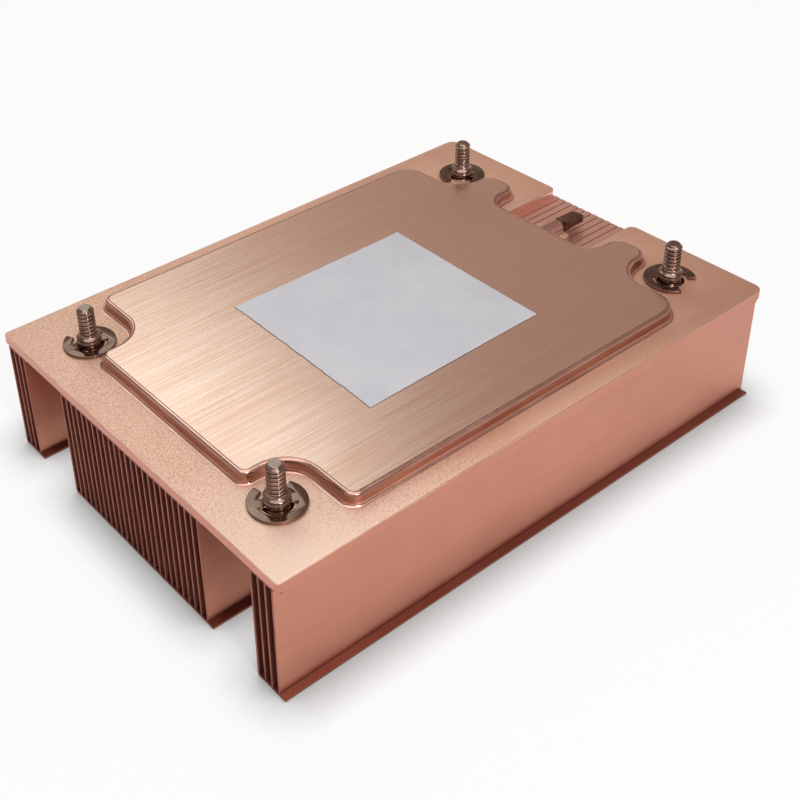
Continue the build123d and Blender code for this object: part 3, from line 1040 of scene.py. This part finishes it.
def makePad():
    p = padSizes
    corners = [Vector(c) for c in p["corners"]]
    middle = sum(corners, Vector((0, 0))) / 4
    points = []
    fineSeed, broadSeed = p["wearSeeds"]
    for index, corner in enumerate(corners):
        after = corners[(index + 1) % 4]
        along = (after - corner).normalized()
        outward = Vector((along.y, -along.x))
        for step in range(p["stepsPerEdge"]):
            share = step / p["stepsPerEdge"]
            spot = corner.lerp(after, share)
            fade = min(1, p["cornerFade"] * share, p["cornerFade"] * (1 - share))
            wave = noise.noise(Vector((*(spot * p["wearFine"]), fineSeed))) * p["fineShare"]
            wave += noise.noise(Vector((*(spot * p["wearBroad"]), broadSeed)))
            points.append(spot - outward * p["ragged"][index] * (p["leastWear"] + abs(wave)) * fade)
    mesh = bmesh.new()
    foot = addRing(mesh, points, p["low"])
    rows = [foot]
    low, high, shadeLineWidth = p["low"], p["high"], p["shadeLineWidth"]
    for inset, z in ((0.02, low + 0.03), (shadeLineWidth, low + 0.04), (shadeLineWidth, high - 0.1), (shadeLineWidth + 0.05, high - 0.03),
                     (shadeLineWidth + 0.16, high)):
        rows.append(addRing(mesh, [q + (middle - q).normalized() * inset for q in points], z))
    for strip, (first, second) in enumerate(zip(rows, rows[1:])):
        bridgeRings(mesh, first, second, 1 if strip < 2 else 0)  # the two lowest strips are the painted shade line
    fillBetween(mesh, [rows[-1]], True)
    fillBetween(mesh, [foot], False)
    result = madeMesh(mesh, "thermalPad")
    smoothUnder(result, p["smoothUnder"])
    dressed(meshObject("thermalPad", result, [paste, padEdgeShade]), "root", "pad_grey", "interface_pad")


makePad()
print("thermal pad laid")


nodeFinishes = {
    "evaporator_wick": wick, "condenser_wick": wick, "interface_pad": paste, "fill_tube": tubeFinish,
    "spring_": springSteel, "retaining_clip_": clipSteel, "screw_": screwSteel,
}


def finishNodes():
    # every solid has its finish, also under the pieces above; what isn't listed is sheet copper
    for name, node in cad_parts.items():
        fitting = [material for start, material in nodeFinishes.items() if name.startswith(start)]
        node.data.materials.clear()
        node.data.materials.append(fitting[0] if fitting else sheet)


finishNodes()
print("CAD nodes finished")


floorLook = {
    "size": 6.0, "light": rgba("f3f3f3"), "dark": rgba("f1f1f1"), "cloudScale": 6.0,
    "paper": 0.83,  # share of glowing white that the camera sees, darkened near the object by a painted contact shadow; the rest is lit and takes the shadow
    "contactShadowReach": 0.010, "contactShadowPower": 1.8,  # reach and depth of the painted contact shadow under the fins
}


def makeFloor():
    look = floorLook
    half = look["size"] / 2
    corners = [(-half, -half, 0), (half, -half, 0), (half, half, 0), (-half, half, 0)]
    mesh = bpy.data.meshes.new("studioFloor")
    mesh.from_pydata(corners, [], [(0, 1, 2, 3)])
    material, graph, place = newMaterial("studioFloor")
    tone = mixed(graph, grain(graph, place, look["cloudScale"], 2.0), look["light"], look["dark"])
    lit = graph.add("ShaderNodeBsdfDiffuse", None, {"Color": tone}).out("BSDF")
    # painted contact shadow: the ambient occlusion darkens the glowing white near the object
    near = graph.add("ShaderNodeAmbientOcclusion", {"samples": 8}, {"Distance": look["contactShadowReach"]}).out("AO")
    contactShadedGlow = near.math("POWER", look["contactShadowPower"])
    white = rgba("ffffff")
    paper = graph.add("ShaderNodeEmission", None, {"Color": white, "Strength": contactShadedGlow}).out("Emission")
    path = graph.add("ShaderNodeLightPath")
    seen = path.out("Is Camera Ray").math("MAXIMUM", path.out("Is Glossy Ray"))
    seen = seen.math("MAXIMUM", path.out("Is Transmission Ray"))
    surface = graph.add("ShaderNodeMixShader", None, [seen * look["paper"], lit, paper]).out("Shader")
    graph.add("ShaderNodeOutputMaterial", None, {"Surface": surface})
    meshObject("studioFloor", mesh, [material])


skyLook = {
    "backdrop": rgba("f8f8f8"),
    "stops": [(0.02, (0.46, 0.385, 0.35)), (0.46, (0.40, 0.325, 0.29)), (0.57, (0.33, 0.26, 0.235))],
}


def makeWorld():
    world = bpy.data.worlds.new("studio")
    bpy.context.scene.world = world
    world.use_nodes = True
    graph = Graph(world.node_tree)
    _, _, up = axes(graph, graph.add("ShaderNodeTexCoord").out("Generated"))
    tone = graph.add("ShaderNodeValToRGB", {"stops": skyLook["stops"]}, {"Fac": up}).out("Color")
    backgrounds = []
    for shade in (tone, skyLook["backdrop"]):
        sockets = {"Color": shade, "Strength": 1.0}
        backgrounds.append(graph.add("ShaderNodeBackground", None, sockets).out("Background"))
    seen = graph.add("ShaderNodeLightPath").out("Is Camera Ray")
    surface = graph.add("ShaderNodeMixShader", None, [seen, *backgrounds]).out("Shader")
    graph.add("ShaderNodeOutputWorld", None, {"Surface": surface})


lamps = {  # angles in degrees, distance and size in metres, power in watts
    "keyLight": {
        "azimuth": 77, "elevation": 50, "distance": 0.9, "size": 0.6, "power": 1.32,
        "colour": (0.77, 0.96, 0.97),
    },
    "topLight": {
        "azimuth": 228, "elevation": 76, "distance": 0.8, "size": 1.0, "power": 3.4, "colour": (1, 1, 1),
    },
    "fillLight": {
        "azimuth": 257, "elevation": 38, "distance": 1.0, "size": 0.14, "power": 3.2, "colour": (1, 1, 1),
    },
}


def makeLamp(name, rig):
    light = bpy.data.lights.new(name, "AREA")
    light.shape, light.size, light.energy, light.color = "DISK", rig["size"], rig["power"], rig["colour"]
    azimuth, elevation = math.radians(rig["azimuth"]), math.radians(rig["elevation"])
    level = math.cos(elevation)
    towards = Vector((math.cos(azimuth) * level, math.sin(azimuth) * level, math.sin(elevation)))
    lamp = bpy.data.objects.new(name, light)
    lamp.location = towards * rig["distance"]
    lamp.rotation_euler = towards.to_track_quat("Z", "Y").to_euler()
    link(lamp)


photoView = {  # solved from the straight edges in the photograph
    "place": (-0.134681, -0.153276, 0.164639), "right": (0.78259, -0.62118, -0.04102),
    "up": (0.35809, 0.39528, 0.84589), "lens": 59.713, "sensor": 36.0, "shift": (0.125, -0.175),
    "clip": (0.005, 20.0),
}


def makeCamera():
    view = photoView
    camera = bpy.data.cameras.new("camera")
    camera.sensor_width, camera.lens = view["sensor"], view["lens"]
    camera.shift_x, camera.shift_y = view["shift"]
    camera.clip_start, camera.clip_end = view["clip"]
    right, up = Vector(view["right"]), Vector(view["up"])
    back = right.cross(up)
    up = back.cross(right)
    pose = Matrix((right, up, back)).transposed().to_4x4()
    pose.translation = Vector(view["place"])
    eye = bpy.data.objects.new("camera", camera)
    eye.matrix_world = pose
    link(eye)
    bpy.context.scene.camera = eye


makeFloor()
makeWorld()
for lampName, lampRig in lamps.items():
    makeLamp(lampName, lampRig)
makeCamera()
bpy.context.scene.view_settings.view_transform = "Standard"
print("studio lit")
